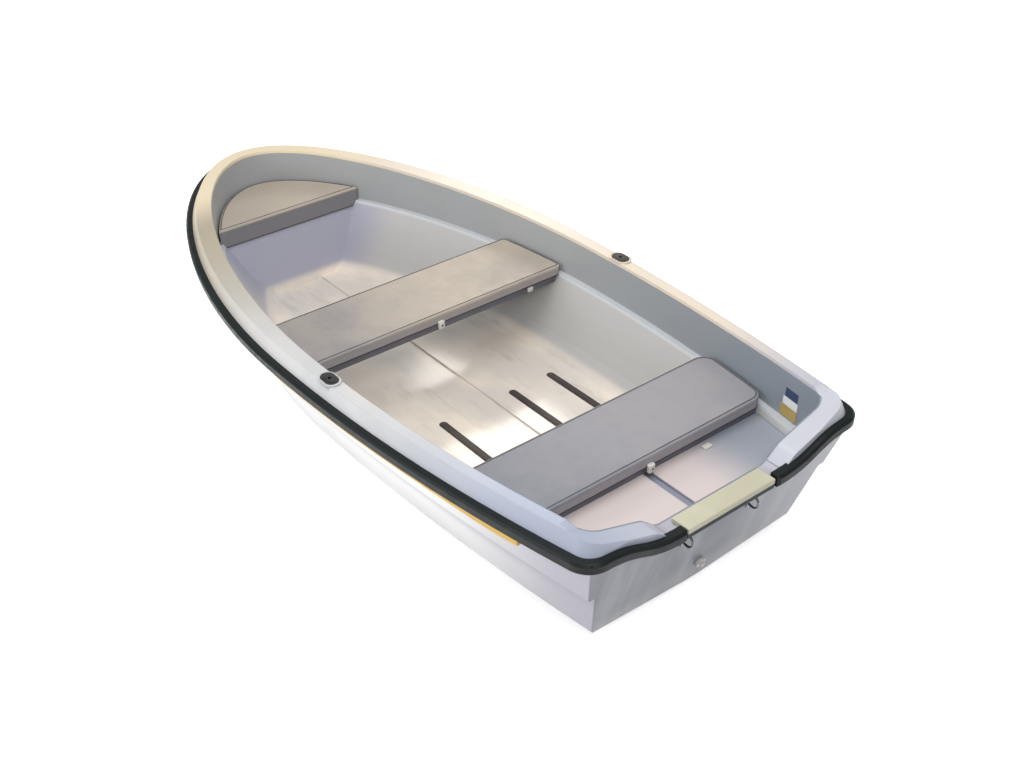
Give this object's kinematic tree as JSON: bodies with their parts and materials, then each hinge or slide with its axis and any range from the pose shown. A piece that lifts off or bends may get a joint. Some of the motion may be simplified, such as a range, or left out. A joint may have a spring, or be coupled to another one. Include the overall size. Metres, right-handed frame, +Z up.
{
  "type": "open rowing dinghy",
  "caption": "Open double-skinned rowing dinghy with bow seat, thwarts, rowlock sockets, rubber rub rail and an outboard pad in the transom.",
  "frame": {"origin": "on the floor under the keel, halfway along and on the centre line", "axes": "+X towards the bow, +Y to port, +Z up"},
  "size_m": [3.1, 1.424, 0.5408],
  "materials": {
    "hull_gelcoat": "gloss gelcoat, white to pale grey",
    "liner_gelcoat": "satin gelcoat, pale grey",
    "gunwale_gelcoat": "gloss gelcoat, warm white",
    "rail_rubber": "satin dark rubber",
    "seat_plastic": "fine textured warm grey",
    "seat_base_plastic": "satin dark grey",
    "pad_plastic": "matt cream",
    "strip_rubber": "ribbed dark brown-grey rubber",
    "keel_plastic": "satin white",
    "socket_plastic": "black moulded",
    "catch_plastic": "white moulded",
    "steel": "polished stainless"
  },
  "bodies": {
    "root": {"hull": "hull_gelcoat", "inner_liner": "liner_gelcoat", "gunwale": "gunwale_gelcoat", "rub_rail": "rail_rubber", "bow_seat": "seat_plastic", "mid_thwart": "seat_plastic", "mid_thwart_base": "seat_base_plastic", "stern_thwart": "seat_plastic", "stern_thwart_base": "seat_base_plastic", "transom_pad": "pad_plastic", "transom_trim": "rail_rubber", "keel": "keel_plastic", "bilge_runner_port": "keel_plastic", "bilge_runner_starboard": "keel_plastic", "rowlock_socket_port": "socket_plastic", "rowlock_socket_starboard": "socket_plastic", "drain_plug": "socket_plastic", "mid_thwart_catch": "catch_plastic", "stern_thwart_catch": "catch_plastic", "bow_eye": "steel", "bow_eye_plate": "steel", "floor_strip_port_inner": "strip_rubber", "floor_strip_port_outer": "strip_rubber", "stern_eye_port": "steel", "stern_eye_port_plate": "steel", "floor_strip_starboard_inner": "strip_rubber", "floor_strip_starboard_outer": "strip_rubber", "stern_eye_starboard": "steel", "stern_eye_starboard_plate": "steel"}
  },
  "joints": []
}
